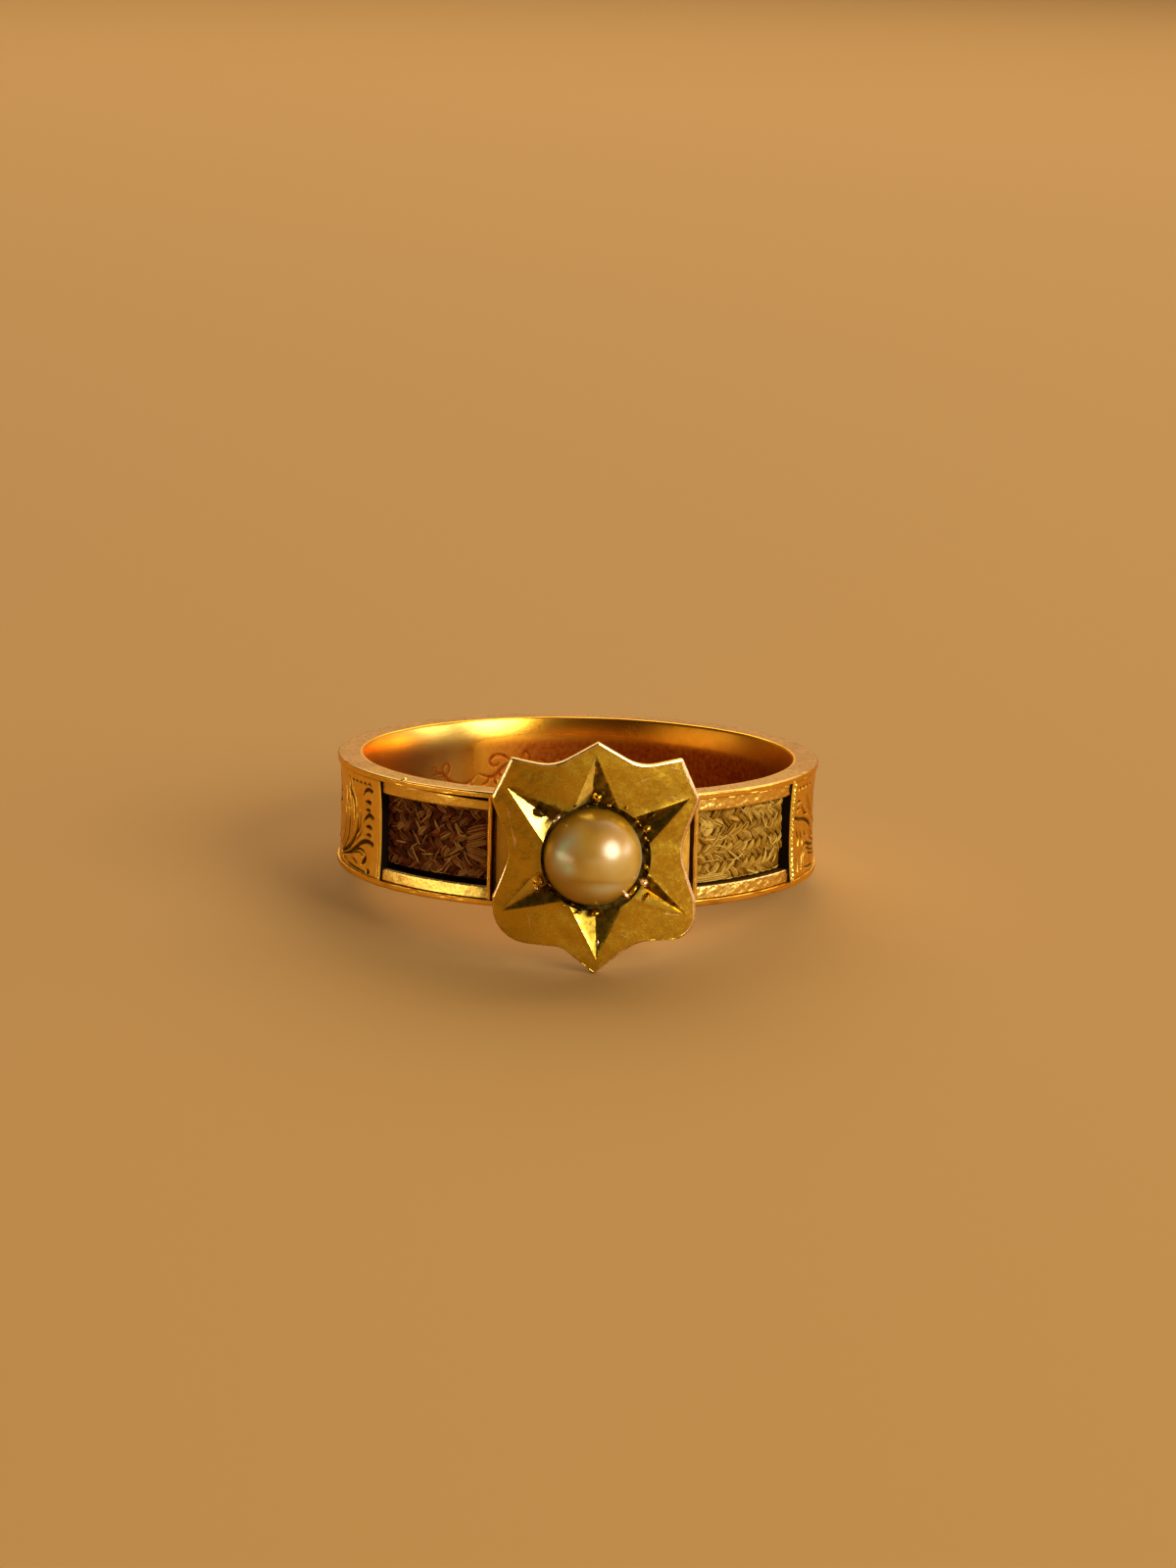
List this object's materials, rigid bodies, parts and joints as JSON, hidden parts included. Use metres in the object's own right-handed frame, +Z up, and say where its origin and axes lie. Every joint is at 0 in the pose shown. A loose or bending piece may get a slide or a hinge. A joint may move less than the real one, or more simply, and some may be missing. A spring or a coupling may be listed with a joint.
{
  "type": "mourning ring",
  "caption": "Gold finger ring with windows of plaited hair in an engraved band and a shield-shaped plaque set with a half pearl.",
  "frame": {"origin": "under the middle of the ring's bounding box, on the surface it lies on", "axes": "+X along the plaque's width, towards the viewer's right when the plaque faces the viewer; +Y from the plaque towards the back of the band; +Z up from the surface, 6.3 degrees from the ring's own axis"},
  "size_m": [0.0196, 0.022, 0.0089],
  "materials": {
    "gold": "worn satin gold, tarnished in the cuts",
    "pearl": "soft pearl lustre",
    "hair_dark": "flat plaited hair",
    "hair_light": "flat plaited hair"
  },
  "bodies": {
    "root": {"gold_ring": "gold", "half_pearl": "pearl", "hair_left": "hair_dark", "hair_right": "hair_light"}
  },
  "joints": []
}
